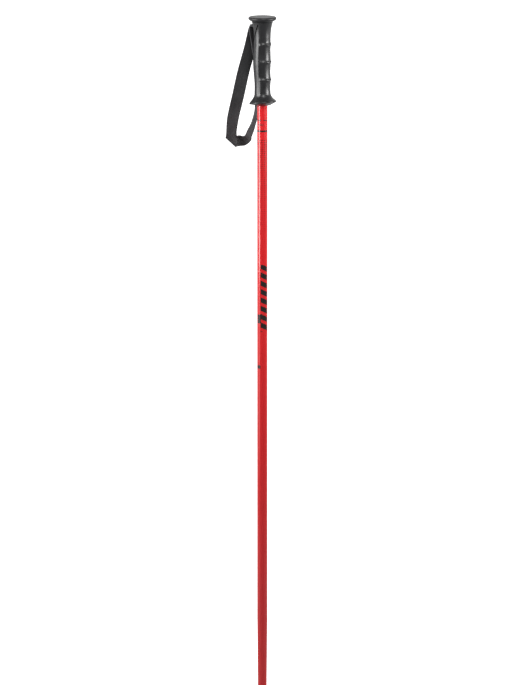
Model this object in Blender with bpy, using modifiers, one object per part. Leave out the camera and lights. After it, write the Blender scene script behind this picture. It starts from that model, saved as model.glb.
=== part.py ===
"""Ski pole with a moulded grip, a webbing wrist strap, a tapered tube, a basket and a steel point.

Frame: the tube's axis is Z, with the cap at the top. The origin is the middle of the hand hold.
+X is the finger side of the grip and -X is the palm side, where the strap comes out.
All sizes are in metres.
"""
import math

import bmesh
import bpy
from mathutils import Matrix, Vector

# Overall
POLE_LENGTH = 1.200            # from the cap's top to the end of the steel point
CAP_TOP_Z = 0.0695             # height of the cap's top above the middle of the hand hold
GAP = 0.0003                   # clearance left between pieces that touch

# Tube
TUBE_RADIUS = 0.008
TUBE_WALL = 0.0011
TUBE_MOUTH_RADIUS = 0.00635    # at the ferrule's mouth, where the visible taper ends
TAPER_LENGTH = 0.169
TUBE_IN_GRIP = 0.086           # how far the tube goes up into the grip
TUBE_IN_FERRULE = 0.032
END_CAP_RIM = 0.002            # thickness of the end cap where it covers the tube's top
END_CAP_STEM = 0.012

# Grip
GRIP_BOTTOM_Z = -0.0675
NECK_RADIUS = 0.0163           # the neck's widest, right under the cap
PALM_RADIUS = 0.0144           # the palm swell's widest
WAIST_RADIUS = 0.0121          # the narrowest place, below the palm swell
FINGER_RADIUS = 0.0130         # the finger side, beside its ridges
GROOVE_DIP = 0.0006            # how far each finger groove is hollowed between its ridges
THROAT_Z = 0.0385              # where the neck starts to widen
FINGER_HALF_ANGLE = math.radians(70)
FINGER_STEP_ANGLE = math.radians(20)
RIDGE_Z = (0.0267, -0.0004, -0.0280)
RIDGE_HEIGHT = 0.0012
RIDGE_HALF_WIDTH = 0.0022
FLANGE_RADIUS = 0.0210         # the hand stop at the grip's lower end
FLANGE_Z = -0.0634
FLANGE_TILT = 0.12             # the hand stop rises towards the finger side
FLANGE_EDGE = 0.0022           # thickness of its edge
FLANGE_HUB_RADIUS = 0.0125     # flat ring under the hand stop
SHOULDER_Z = -0.0500           # where the grip starts to widen into the hand stop
FLARE_POWER = 1.9              # how late it widens
TILT_START = 0.010             # how far above the shoulder the grip starts to lean

# Cap
CAP_RADIUS = 0.0217
CAP_FLAT_RADIUS = 0.0165       # flat middle of the cap's top
CAP_THICKNESS = 0.0082         # from the cap's top down to the neck
SPIGOT_RADIUS = 0.0086
SPIGOT_LENGTH = 0.0024

# Strap lock
WEDGE_TOP_Z = 0.0580           # height of the lock's upper seam
WEDGE_BOTTOM_Z = 0.0240
RAMP_TOP_X = 0.0061            # where the ramp meets the upper seam
RAMP_RUN = 0.517               # the ramp's run in X for each unit of height
SLIT_TOP = 0.0020              # open seam between the ramp and the wedge, at its top
SLIT_BOTTOM = 0.0009
TONGUE_HALF_WIDTH = 0.0030
TONGUE_BOTTOM_Z = 0.0280
TONGUE_HEIGHT = 0.0050
TONGUE_TIP_X = 0.0020
PIN_RADIUS = 0.0015
PIN_X = -0.0046
PIN_Z = 0.0488
PIN_BEARING = 0.0009           # how far each end of the pin goes into a cheek of the wedge
RECESS_BACK_X = -0.0108        # back wall of the hollow that the strap turns in

# Strap
STRAP_WIDTH = 0.020
STRAP_THICKNESS = 0.0014
STRAP_SIDE_PLAY = 0.0007       # room beside the strap in its slot
STRAP_HINGE_X = -0.0153        # the strap bends here as it leaves the grip
STRAP_COLUMNS = 4              # facets across the strap's width
LAYER_STEP = 0.0018            # from one layer of strap in the slot to the next
FOLD_RADIUS = 0.0045           # the strap rolls over itself at the bottom of its loop
FOLD_SLANT = math.radians(49)  # angle between the strap's run and the fold
FOLD_TURN = math.radians(220)
FOLD_LEAD = 0.009              # flat strap before the fold, longer than the fold's slant takes up

# Ferrule, basket and point
FERRULE_LENGTH = 0.081
FERRULE_RADIUS = 0.0084
FERRULE_END_RADIUS = 0.0047
COLLAR_RADIUS = 0.0112
COLLAR_DROP = 0.0170           # from the ferrule's mouth down to the collar
COLLAR_HEIGHT = 0.0030
BARB_RADIUS = 0.0096
BARB_HEIGHT = 0.0030
POINT_LENGTH = 0.012           # steel that shows below the ferrule
POINT_RADIUS = 0.0034
POINT_SHANK = 0.020
SHANK_RADIUS = 0.0027
POINT_CUP_RADIUS = 0.0015
BASKET_RADIUS = 0.030
BASKET_HUB_HEIGHT = 0.0145
BASKET_HUB_WALL = 0.0024
BASKET_WEB = 0.0022
BASKET_DISH = 0.0040           # how far the rim stands above the web's inner end
BASKET_RIM_HEIGHT = 0.0044
BASKET_RIM_WIDTH = 0.0030
WINDOW_COUNT = 6
WINDOW_RADIUS = 0.0042
WINDOW_RING_RADIUS = 0.0195

# How finely round pieces are divided
GRIP_SIDES = 40
TURN_STEPS = 32

TIP_Z = CAP_TOP_Z - POLE_LENGTH
FERRULE_END_Z = TIP_Z + POINT_LENGTH + GAP
FERRULE_MOUTH_Z = FERRULE_END_Z + FERRULE_LENGTH
NECK_TOP_Z = CAP_TOP_Z - CAP_THICKNESS - GAP
TUBE_TOP_Z = GRIP_BOTTOM_Z + TUBE_IN_GRIP
SLOT_HALF_WIDTH = STRAP_WIDTH / 2 + STRAP_SIDE_PLAY
SLOT_FLOOR_Z = WEDGE_TOP_Z - GAP - 2 * LAYER_STEP - STRAP_THICKNESS / 2
INNER_LAYER_Z = SLOT_FLOOR_Z + GAP + STRAP_THICKNESS / 2
OUTER_LAYER_Z = INNER_LAYER_Z + LAYER_STEP
STRAP_HINGE_Z = OUTER_LAYER_Z + STRAP_THICKNESS / 2 + 0.0001
PIN_WRAP = PIN_RADIUS + GAP + STRAP_THICKNESS / 2
COLLAR_TOP_Z = FERRULE_MOUTH_Z - COLLAR_DROP
SEAT_TOP_Z = COLLAR_TOP_Z - COLLAR_HEIGHT
SEAT_BOTTOM_Z = SEAT_TOP_Z - BASKET_HUB_HEIGHT - 2 * GAP

# The loop's route, by hand: where the middle of the strap passes, and which way its width points.
OUTER_LEG = (
    ((-0.0173, 0.0000, 0.0546), (0.00, 1.00, 0.00)),
    ((-0.0207, 0.0000, 0.0470), (0.02, 1.00, 0.00)),
    ((-0.0252, -0.0010, 0.0217), (0.30, 0.95, -0.12)),
    ((-0.0340, -0.0073, -0.0190), (0.36, 0.92, -0.20)),
    ((-0.0406, -0.0123, -0.0564), (0.36, 0.92, -0.20)),
    ((-0.0466, -0.0169, -0.0892), (0.29, 0.94, -0.20)),
)
FOLD_START = (-0.0490, -0.0181, -0.1213)
FOLD_HEADING = (0.00, 0.03, -1.00)
FOLD_WIDTH = (0.10, 0.95, -0.30)
INNER_LEG = (
    ((-0.0384, 0.0055, -0.1225), (-0.38, 0.72, -0.58)),
    ((-0.0355, 0.0090, -0.1134), (-0.29, 0.92, -0.26)),
    ((-0.0328, 0.0125, -0.1025), (-0.44, 0.82, -0.36)),
    ((-0.0312, 0.0147, -0.0935), (-0.44, 0.89, -0.14)),
    ((-0.0291, 0.0161, -0.0754), (-0.55, 0.84, 0.00)),
    ((-0.0260, 0.0151, -0.0405), (-0.48, 0.88, 0.00)),
    ((-0.0227, 0.0112, -0.0041), (-0.32, 0.95, 0.00)),
    ((-0.0195, 0.0035, 0.0340), (-0.08, 1.00, 0.00)),
    ((-0.0180, 0.0000, 0.0465), (0.00, 1.00, 0.00)),
    ((-0.0176, 0.0000, 0.0515), (0.00, 1.00, 0.00)),
)


# Scene and objects

def clear_scene():
    for item in list(bpy.data.objects):
        bpy.data.objects.remove(item, do_unlink=True)


def new_collection(name):
    collection = bpy.data.collections.new(name)
    bpy.context.scene.collection.children.link(collection)
    return collection


def finish(name, colour, roughness, metallic=0.0):
    """A plain finish for one piece."""
    material = bpy.data.materials.new(name)
    material.use_nodes = True
    shader = material.node_tree.nodes["Principled BSDF"]
    shader.inputs["Base Color"].default_value = (*colour, 1.0)
    shader.inputs["Roughness"].default_value = roughness
    shader.inputs["Metallic"].default_value = metallic
    material.diffuse_color = (*colour, 1.0)
    return material


def add_piece(name, mesh, material, origin=(0.0, 0.0, 0.0)):
    """Adds a piece with its origin at a point, such as a place on its joint's axis."""
    mesh.transform(Matrix.Translation(-Vector(origin)))
    mesh.materials.append(material)
    piece = bpy.data.objects.new(name, mesh)
    piece.location = origin
    parts.objects.link(piece)
    return piece


def add_cutter(name, mesh):
    cutter = bpy.data.objects.new(name, mesh)
    cutter.hide_render = True
    cutter.display_type = "WIRE"
    cutters.objects.link(cutter)
    return cutter


def cut(piece, cutter, operation="DIFFERENCE"):
    step = piece.modifiers.new(cutter.name, "BOOLEAN")
    step.operation = operation
    step.solver = "EXACT"
    step.object = cutter


# Shapes

def turned(name, profile, closed=False):
    """The (radius, height) points of a profile, down its outer side, as the edge that Screw turns."""
    mesh = bpy.data.meshes.new(name)
    points = [(radius, 0.0, height) for radius, height in profile]
    edges = [(index, index + 1) for index in range(len(points) - 1)]
    if closed:
        edges.append((len(points) - 1, 0))
    mesh.from_pydata(points, edges, [])
    return mesh


def turn(piece, steps=TURN_STEPS):
    screw = piece.modifiers.new("turn", "SCREW")
    screw.axis = "Z"
    screw.angle = 2 * math.pi
    screw.steps = steps
    screw.render_steps = steps
    screw.use_merge_vertices = True
    screw.merge_threshold = 0.00001
    screw.use_smooth_shade = True


def cylinder(name, radius, low, high, steps=TURN_STEPS):
    """A round bar along Z between two heights."""
    mesh = bpy.data.meshes.new(name)
    bar = bmesh.new()
    placed = Matrix.Translation((0.0, 0.0, (low + high) / 2))
    bmesh.ops.create_cone(
        bar, cap_ends=True, segments=steps, radius1=radius, radius2=radius,
        depth=high - low, matrix=placed)
    bar.to_mesh(mesh)
    bar.free()
    return mesh


def box(name, low, high):
    """A box between its lowest and its highest corner."""
    mesh = bpy.data.meshes.new(name)
    block = bmesh.new()
    middle = [(a + b) / 2 for a, b in zip(low, high)]
    size = [b - a for a, b in zip(low, high)]
    placed = Matrix.Translation(middle) @ Matrix.Diagonal((*size, 1.0))
    bmesh.ops.create_cube(block, size=1.0, matrix=placed)
    block.to_mesh(mesh)
    block.free()
    return mesh


def slab(name, outline, half_thickness):
    """A flat outline of (x, z) points, thickened both ways along Y."""
    curve = bpy.data.curves.new(name + "_outline", "CURVE")
    curve.dimensions = "2D"
    curve.fill_mode = "BOTH"
    curve.extrude = half_thickness
    line = curve.splines.new("POLY")
    line.points.add(len(outline) - 1)
    line.use_cyclic_u = True
    for point, (x, z) in zip(line.points, outline):
        point.co = (x, z, 0.0, 1.0)
    drawn = bpy.data.objects.new(name + "_outline", curve)
    drawn.rotation_euler = (math.pi / 2, 0.0, 0.0)
    cutters.objects.link(drawn)
    bpy.context.view_layer.update()
    mesh = bpy.data.meshes.new_from_object(drawn.evaluated_get(bpy.context.evaluated_depsgraph_get()))
    mesh.name = name
    mesh.transform(drawn.matrix_world)
    bpy.data.objects.remove(drawn, do_unlink=True)
    shape = bmesh.new()
    shape.from_mesh(mesh)
    bmesh.ops.remove_doubles(shape, verts=shape.verts, dist=0.000001)
    bmesh.ops.recalc_face_normals(shape, faces=shape.faces)
    shape.to_mesh(mesh)
    shape.free()
    return mesh


def ease(value):
    """0 below 0, 1 above 1, and a smooth step between."""
    value = min(max(value, 0.0), 1.0)
    return value * value * (3.0 - 2.0 * value)


def along(knots, height):
    """A radius read from (height, radius) knots that run upwards, eased between them."""
    for (low, start), (high, end) in zip(knots, knots[1:]):
        if height <= high:
            return start + (end - start) * ease((height - low) / (high - low))
    return knots[-1][1]


# Grip

def neck_flare(height, throat_z, throat_radius):
    """How far the neck stands out of the throat, more and more towards the cap."""
    share = max(0.0, (height - throat_z) / (NECK_TOP_Z - throat_z))
    return (NECK_RADIUS - throat_radius) * share ** 2


def palm_radius(height):
    throat = PALM_RADIUS - 0.0013
    knots = (
        (FLANGE_Z, WAIST_RADIUS + 0.0006), (-0.040, WAIST_RADIUS), (0.0, PALM_RADIUS), (THROAT_Z, throat))
    return along(knots, height) + neck_flare(height, THROAT_Z, throat)


def finger_radius(height):
    """Four finger grooves, each hollowed a little between its ridges."""
    pitch = (RIDGE_Z[0] - RIDGE_Z[-1]) / (len(RIDGE_Z) - 1)
    hollow = GROOVE_DIP * (1.0 - math.cos(2 * math.pi * (height - RIDGE_Z[0]) / pitch)) / 2
    ridge = sum(math.exp(-((height - z) / RIDGE_HALF_WIDTH) ** 2) for z in RIDGE_Z)
    held = FINGER_RADIUS - hollow * ease((THROAT_Z - height) / RIDGE_HALF_WIDTH / 4)
    return held + RIDGE_HEIGHT * ridge + neck_flare(height, THROAT_Z, FINGER_RADIUS)


def grip_radius(angle, height):
    """Fingers in front, palm behind, with a soft step between the two."""
    turned_by = abs(math.remainder(angle, 2 * math.pi))
    palm = ease((turned_by - FINGER_HALF_ANGLE) / FINGER_STEP_ANGLE + 0.5)
    return finger_radius(height) * (1.0 - palm) + palm_radius(height) * palm


def grip_rings():
    """(height, how far out towards the hand stop, tilt) of each ring, from the neck down."""
    rings = []
    count = 42
    for index in range(count + 1):
        height = NECK_TOP_Z + (SHOULDER_Z - NECK_TOP_Z) * index / count
        lean = ease((SHOULDER_Z + TILT_START - height) / TILT_START)
        rings.append((height, 0.0, FLANGE_TILT * lean))
    steps = 9
    edge_z = FLANGE_Z + FLANGE_EDGE / 2
    for index in range(1, steps + 1):
        share = index / steps
        rings.append((SHOULDER_Z + (edge_z - SHOULDER_Z) * share, share ** FLARE_POWER, FLANGE_TILT))
    return rings


def under_rings():
    """(height, radius, tilt) of the rings round the hand stop's edge and under it."""
    return (
        (FLANGE_Z, FLANGE_RADIUS, FLANGE_TILT),
        (FLANGE_Z - FLANGE_EDGE / 2, FLANGE_RADIUS - FLANGE_EDGE / 2, FLANGE_TILT),
        ((FLANGE_Z + GRIP_BOTTOM_Z) / 2 - FLANGE_EDGE / 2, (FLANGE_RADIUS + FLANGE_HUB_RADIUS) / 2, FLANGE_TILT / 2),
        (GRIP_BOTTOM_Z, FLANGE_HUB_RADIUS, 0.0))


def grip_solid(name):
    """The grip's whole outer shape as a loft of unlike rings, closed at both ends."""
    shape = bmesh.new()
    angles = [2 * math.pi * side / GRIP_SIDES for side in range(GRIP_SIDES)]
    edge = FLANGE_RADIUS - FLANGE_EDGE / 4
    loops = []
    for height, share, tilt in grip_rings():
        reach = [grip_radius(angle, height) for angle in angles]
        reach = [own + (edge - own) * share for own in reach]
        loops.append(ring_points(shape, angles, reach, height, tilt))
    for height, radius, tilt in under_rings():
        loops.append(ring_points(shape, angles, [radius] * GRIP_SIDES, height, tilt))
    for upper, lower in zip(loops, loops[1:]):
        for side in range(GRIP_SIDES):
            after = (side + 1) % GRIP_SIDES
            shape.faces.new((upper[side], lower[side], lower[after], upper[after]))
    shape.faces.new(loops[0])
    shape.faces.new(reversed(loops[-1]))
    bmesh.ops.recalc_face_normals(shape, faces=shape.faces)
    mesh = bpy.data.meshes.new(name)
    shape.to_mesh(mesh)
    shape.free()
    mesh.shade_smooth()
    mesh.set_sharp_from_angle(angle=math.radians(40))
    return mesh


def ring_points(shape, angles, reach, height, tilt):
    """One ring of the loft, each point raised by the tilt towards the finger side."""
    points = []
    for angle, radius in zip(angles, reach):
        x = radius * math.cos(angle)
        points.append(shape.verts.new((x, radius * math.sin(angle), height + tilt * x)))
    return points


def ramp_x(height):
    return RAMP_TOP_X - RAMP_RUN * (WEDGE_TOP_Z - height)


def seam(height):
    """Width of the open seam in front of the wedge."""
    share = (height - WEDGE_BOTTOM_Z) / (WEDGE_TOP_Z - WEDGE_BOTTOM_Z)
    return SLIT_BOTTOM + (SLIT_TOP - SLIT_BOTTOM) * share


def build_grip_body(material):
    body = add_piece("grip_body", grip_solid("grip_body"), material)
    outside = -2 * NECK_RADIUS
    low = WEDGE_BOTTOM_Z - GAP
    bay = ((outside, low), (ramp_x(low), low), (ramp_x(WEDGE_TOP_Z), WEDGE_TOP_Z), (outside, WEDGE_TOP_Z))
    cut(body, add_cutter("lock_bay", slab("lock_bay", bay, 2 * NECK_RADIUS)))
    bore_top = TUBE_TOP_Z + END_CAP_RIM + 2 * GAP
    bore = cylinder("tube_bore", TUBE_RADIUS + GAP, GRIP_BOTTOM_Z - TUBE_RADIUS, bore_top)
    cut(body, add_cutter("tube_bore", bore))
    socket_low = NECK_TOP_Z - SPIGOT_LENGTH - GAP
    socket = cylinder("cap_socket", SPIGOT_RADIUS + GAP, socket_low, CAP_TOP_Z)
    cut(body, add_cutter("cap_socket", socket))
    groove_low = (ramp_x(TONGUE_BOTTOM_Z) - TONGUE_HEIGHT, -TONGUE_HALF_WIDTH - GAP, TONGUE_BOTTOM_Z - GAP)
    groove_high = (TONGUE_TIP_X + GAP, TONGUE_HALF_WIDTH + GAP, TONGUE_BOTTOM_Z + TONGUE_HEIGHT + GAP)
    cut(body, add_cutter("tongue_groove", box("tongue_groove", groove_low, groove_high)))


def build_grip_cap(material):
    neck = CAP_TOP_Z - CAP_THICKNESS
    profile = (
        (0.0, CAP_TOP_Z), (CAP_FLAT_RADIUS, CAP_TOP_Z), (CAP_RADIUS - 0.0022, CAP_TOP_Z - 0.0004),
        (CAP_RADIUS - 0.0008, CAP_TOP_Z - 0.0012), (CAP_RADIUS, CAP_TOP_Z - 0.0024),
        (CAP_RADIUS - 0.0002, CAP_TOP_Z - 0.0034), (CAP_RADIUS - 0.0012, CAP_TOP_Z - 0.0044),
        (NECK_RADIUS + 0.0018, CAP_TOP_Z - 0.0062), (NECK_RADIUS + 0.0003, CAP_TOP_Z - 0.0074),
        (NECK_RADIUS - 0.0003, neck), (SPIGOT_RADIUS, neck), (SPIGOT_RADIUS, neck - SPIGOT_LENGTH),
        (0.0, neck - SPIGOT_LENGTH))
    cap = add_piece("grip_cap", turned("grip_cap", profile), material)
    turn(cap, GRIP_SIDES)


# Strap lock

def build_strap_wedge(material):
    origin = (ramp_x(PIN_Z), 0.0, PIN_Z)
    wedge = add_piece("strap_wedge", grip_solid("strap_wedge"), material, origin)
    outside = -2 * NECK_RADIUS
    low = WEDGE_BOTTOM_Z
    high = WEDGE_TOP_Z - GAP
    block = ((outside, low), (ramp_x(low) - seam(low), low), (ramp_x(high) - seam(high), high), (outside, high))
    cut(wedge, add_cutter("wedge_block", slab("wedge_block", block, 2 * NECK_RADIUS)), "INTERSECT")
    root_x = ramp_x(TONGUE_BOTTOM_Z) - TONGUE_HEIGHT / 5 - SLIT_TOP
    tongue_low = (root_x, -TONGUE_HALF_WIDTH, TONGUE_BOTTOM_Z)
    tongue_high = (TONGUE_TIP_X, TONGUE_HALF_WIDTH, TONGUE_BOTTOM_Z + TONGUE_HEIGHT)
    cut(wedge, add_cutter("tongue", box("tongue", tongue_low, tongue_high)), "UNION")
    recess_low = PIN_Z - PIN_WRAP - STRAP_THICKNESS / 2 - GAP
    above = WEDGE_TOP_Z + GAP
    room = (
        (outside, SLOT_FLOOR_Z), (RECESS_BACK_X, SLOT_FLOOR_Z), (RECESS_BACK_X, recess_low),
        (NECK_RADIUS, recess_low), (NECK_RADIUS, above), (outside, above))
    cut(wedge, add_cutter("strap_room", slab("strap_room", room, SLOT_HALF_WIDTH)))
    half = SLOT_HALF_WIDTH + PIN_BEARING + GAP
    bearing = cylinder("pin_bearing", PIN_RADIUS + GAP, -half, half, 16)
    bearing.transform(Matrix.Translation((PIN_X, 0.0, PIN_Z)) @ Matrix.Rotation(math.pi / 2, 4, "X"))
    cut(wedge, add_cutter("pin_bearing", bearing))


def build_strap_pin(material):
    half = SLOT_HALF_WIDTH + PIN_BEARING
    mesh = cylinder("strap_pin", PIN_RADIUS, -half, half, 16)
    mesh.transform(Matrix.Rotation(math.pi / 2, 4, "X"))
    mesh.transform(Matrix.Translation((PIN_X, 0.0, PIN_Z)))
    pin = add_piece("strap_pin", mesh, material, (PIN_X, 0.0, PIN_Z))
    pin.data.shade_smooth()
    pin.data.set_sharp_from_angle(angle=math.radians(40))


# Strap

def smooth_route(stations, steps):
    """A smooth curve through (centre, width) stations, with the widths turned along with it."""
    points = [(Vector(centre), Vector(width).normalized()) for centre, width in stations]
    before = (2 * points[0][0] - points[1][0], points[0][1])
    beyond = (2 * points[-1][0] - points[-2][0], points[-1][1])
    points = [before] + points + [beyond]
    route = []
    for index in range(1, len(points) - 2):
        four = points[index - 1:index + 3]
        for step in range(steps):
            route.append(tuple(between([item[kind] for item in four], step / steps) for kind in (0, 1)))
    route.append(points[-2])
    return route


def between(four, share):
    """The point at a share of the way from the second to the third of four, on a Catmull-Rom curve."""
    a, b, c, d = four
    return 0.5 * (
        2 * b + (c - a) * share + (2 * a - 5 * b + 4 * c - d) * share ** 2
        + (3 * b - a - 3 * c + d) * share ** 3)


def straight_rows(route, columns):
    """Rows of points across the strap, square to its route."""
    rows = []
    for index, (centre, width) in enumerate(route):
        ahead = route[min(index + 1, len(route) - 1)][0] - route[max(index - 1, 0)][0]
        across = (width - width.project(ahead)).normalized() * STRAP_WIDTH
        rows.append([centre + across * (column / columns - 0.5) for column in range(columns + 1)])
    return rows


def webbing(name, rows, material, origin):
    """A strip of webbing through its rows, as an open sheet that Solidify makes thick."""
    strip = bmesh.new()
    grid = [[strip.verts.new(point) for point in row] for row in rows]
    for first, second in zip(grid, grid[1:]):
        for column in range(len(first) - 1):
            strip.faces.new((first[column], first[column + 1], second[column + 1], second[column]))
    mesh = bpy.data.meshes.new(name)
    strip.to_mesh(mesh)
    strip.free()
    piece = add_piece(name, mesh, material, origin)
    thick = piece.modifiers.new("thickness", "SOLIDIFY")
    thick.thickness = STRAP_THICKNESS
    thick.offset = 0.0
    thick.use_even_offset = False


def fold_point(run, across):
    """Where a point of the flat strap lies once the strap is rolled over its slanted fold."""
    heading = Vector(FOLD_HEADING).normalized()
    width = Vector(FOLD_WIDTH)
    width = (width - width.project(heading)).normalized()
    normal = width.cross(heading)
    sine = math.sin(FOLD_SLANT)
    cosine = math.cos(FOLD_SLANT)
    onward = sine * heading - cosine * width
    beyond = run * sine - across * cosine
    beside = run * cosine + across * sine
    angle = min(max(beyond / FOLD_RADIUS, 0.0), FOLD_TURN)
    flat = beyond - angle * FOLD_RADIUS
    rolled = FOLD_RADIUS * (math.sin(angle) * onward + (1.0 - math.cos(angle)) * normal)
    leaving = math.cos(angle) * onward + math.sin(angle) * normal
    return Vector(FOLD_START) + beside * (cosine * heading + sine * width) + rolled + flat * leaving


def fold_rows(columns):
    """Rows across the strap, from flat before the fold to flat after it."""
    last = (FOLD_TURN * FOLD_RADIUS + STRAP_WIDTH / 2 * math.cos(FOLD_SLANT)) / math.sin(FOLD_SLANT) + GAP
    count = 15
    rows = []
    for index in range(count + 1):
        run = -FOLD_LEAD + (last + FOLD_LEAD) * index / count
        offsets = [STRAP_WIDTH * (column / columns - 0.5) for column in range(columns + 1)]
        rows.append([fold_point(run, offset) for offset in offsets])
    return rows


def row_station(row):
    return row[len(row) // 2], row[-1] - row[0]


def loop_rows():
    """The wrist loop, from the slot's outer layer down, over its fold and back to the inner layer."""
    y_axis = (0.0, 1.0, 0.0)
    straight = STRAP_HINGE_X - 0.0010
    out_of_slot = [((x, 0.0, OUTER_LAYER_Z), y_axis) for x in (STRAP_HINGE_X, straight)]
    into_slot = [((x, 0.0, INNER_LAYER_Z), y_axis) for x in (straight, STRAP_HINGE_X)]
    fold = fold_rows(STRAP_COLUMNS)
    down = smooth_route([*out_of_slot, *OUTER_LEG, row_station(fold[0]), row_station(fold[1])], 3)
    up = smooth_route([row_station(fold[-2]), row_station(fold[-1]), *INNER_LEG, *into_slot], 3)
    return straight_rows(down[:-4], STRAP_COLUMNS) + fold + straight_rows(up[4:], STRAP_COLUMNS)


def pin_route():
    """The strap inside the lock: in on the outer layer, round the pin and out on the inner layer."""
    y_axis = (0.0, 1.0, 0.0)
    mouth = STRAP_HINGE_X + GAP
    centres = [
        (mouth, OUTER_LAYER_Z), (RECESS_BACK_X + 0.0008, OUTER_LAYER_Z),
        (PIN_X - 0.0003, OUTER_LAYER_Z - 0.0006), (PIN_X + PIN_WRAP - 0.0004, PIN_Z + 0.0040)]
    count = 6
    for index in range(count + 1):
        angle = -math.pi * index / count
        centres.append((PIN_X + PIN_WRAP * math.cos(angle), PIN_Z + PIN_WRAP * math.sin(angle)))
    centres += [
        (PIN_X - PIN_WRAP - 0.0007, PIN_Z + 0.0030), (PIN_X - PIN_WRAP - 0.0028, INNER_LAYER_Z - 0.0004),
        (RECESS_BACK_X - 0.0010, INNER_LAYER_Z), (mouth, INNER_LAYER_Z)]
    return smooth_route([((x, 0.0, z), y_axis) for x, z in centres], 2)


def build_strap(material):
    webbing("strap_in_lock", straight_rows(pin_route(), 1), material, (PIN_X, 0.0, PIN_Z))
    webbing("wrist_strap", loop_rows(), material, (STRAP_HINGE_X, 0.0, STRAP_HINGE_Z))


# Tube

def tube_radius(height):
    """Outer radius of the tube, which keeps its taper on inside the ferrule."""
    slope = (TUBE_RADIUS - TUBE_MOUTH_RADIUS) / TAPER_LENGTH
    above_mouth = height - FERRULE_MOUTH_Z
    return min(TUBE_RADIUS, TUBE_MOUTH_RADIUS + slope * above_mouth)


def build_tube(material):
    taper_top = FERRULE_MOUTH_Z + TAPER_LENGTH
    low = FERRULE_MOUTH_Z - TUBE_IN_FERRULE
    outer = [(TUBE_RADIUS, TUBE_TOP_Z), (TUBE_RADIUS, taper_top), (tube_radius(low), low)]
    inner = [(radius - TUBE_WALL, height) for radius, height in reversed(outer)]
    tube = add_piece("shaft_tube", turned("shaft_tube", outer + inner, closed=True), material)
    turn(tube)


def build_end_cap(material):
    seat = TUBE_TOP_Z + GAP
    stem = TUBE_RADIUS - TUBE_WALL - GAP
    profile = (
        (0.0, seat + END_CAP_RIM), (TUBE_RADIUS - GAP, seat + END_CAP_RIM), (TUBE_RADIUS, seat + END_CAP_RIM / 2),
        (TUBE_RADIUS, seat), (stem, seat), (stem, seat - END_CAP_STEM), (0.0, seat - END_CAP_STEM))
    cap = add_piece("shaft_end_cap", turned("shaft_end_cap", profile), material)
    turn(cap)


# Ferrule, basket and point

def build_ferrule(material):
    floor = FERRULE_MOUTH_Z - TUBE_IN_FERRULE - GAP
    hole = SHANK_RADIUS + GAP
    hole_top = FERRULE_END_Z + POINT_SHANK + GAP
    profile = (
        (0.0, floor), (tube_radius(floor) + GAP, floor), (TUBE_MOUTH_RADIUS + GAP, FERRULE_MOUTH_Z),
        (FERRULE_RADIUS - 0.0006, FERRULE_MOUTH_Z), (FERRULE_RADIUS, FERRULE_MOUTH_Z - 0.0010),
        (FERRULE_RADIUS, COLLAR_TOP_Z + 0.0010), (COLLAR_RADIUS - 0.0006, COLLAR_TOP_Z),
        (COLLAR_RADIUS, COLLAR_TOP_Z - 0.0008), (COLLAR_RADIUS, SEAT_TOP_Z), (FERRULE_RADIUS, SEAT_TOP_Z),
        (FERRULE_RADIUS, SEAT_BOTTOM_Z), (BARB_RADIUS, SEAT_BOTTOM_Z - 0.0004),
        (FERRULE_RADIUS - 0.0008, SEAT_BOTTOM_Z - BARB_HEIGHT), (FERRULE_END_RADIUS, FERRULE_END_Z),
        (hole, FERRULE_END_Z), (hole, hole_top), (0.0, hole_top))
    turn(add_piece("ferrule", turned("ferrule", profile), material))


def build_point(material):
    top = FERRULE_END_Z - GAP
    head = FERRULE_END_RADIUS - 0.0003
    profile = (
        (0.0, FERRULE_END_Z + POINT_SHANK), (SHANK_RADIUS, FERRULE_END_Z + POINT_SHANK), (SHANK_RADIUS, top),
        (head, top), (head, top - 0.0020), (POINT_RADIUS, TIP_Z + 0.0012), (POINT_RADIUS - 0.0004, TIP_Z),
        (POINT_CUP_RADIUS, TIP_Z), (0.0, TIP_Z + 0.0012))
    turn(add_piece("steel_point", turned("steel_point", profile), material), 24)


def build_basket(material):
    inner = FERRULE_RADIUS + GAP
    hub = inner + BASKET_HUB_WALL
    top = SEAT_TOP_Z - GAP
    bottom = top - BASKET_HUB_HEIGHT
    web = bottom + BASKET_HUB_HEIGHT * 0.35
    rim = BASKET_RADIUS - BASKET_RIM_WIDTH
    rim_low = web + BASKET_DISH - BASKET_RIM_HEIGHT / 2
    rim_high = rim_low + BASKET_RIM_HEIGHT
    half_web = BASKET_WEB / 2
    bevel = 0.0007
    profile = (
        (inner, top), (hub - bevel, top), (hub, top - bevel), (hub, web + half_web),
        (rim, web + BASKET_DISH + half_web), (rim, rim_high - bevel), (rim + bevel, rim_high),
        (BASKET_RADIUS - bevel, rim_high), (BASKET_RADIUS, rim_high - bevel), (BASKET_RADIUS, rim_low + bevel),
        (BASKET_RADIUS - bevel, rim_low), (rim, rim_low), (rim, web + BASKET_DISH - half_web),
        (hub, web - half_web), (hub, bottom), (inner, bottom))
    centre = (top + bottom) / 2
    local = [(radius, height - centre) for radius, height in profile]
    basket = add_piece("basket", turned("basket", local, closed=True), material)
    basket.location = (0.0, 0.0, centre)
    turn(basket, 48)
    holes = bmesh.new()
    for index in range(WINDOW_COUNT):
        angle = 2 * math.pi * (index + 0.5) / WINDOW_COUNT
        place = (WINDOW_RING_RADIUS * math.cos(angle), WINDOW_RING_RADIUS * math.sin(angle), web)
        bmesh.ops.create_cone(
            holes, cap_ends=True, segments=20, radius1=WINDOW_RADIUS, radius2=WINDOW_RADIUS,
            depth=2 * BASKET_HUB_HEIGHT, matrix=Matrix.Translation(place))
    mesh = bpy.data.meshes.new("basket_windows")
    holes.to_mesh(mesh)
    holes.free()
    cut(basket, add_cutter("basket_windows", mesh))


clear_scene()
parts = new_collection("ski_pole")
cutters = new_collection("cutters")

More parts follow.
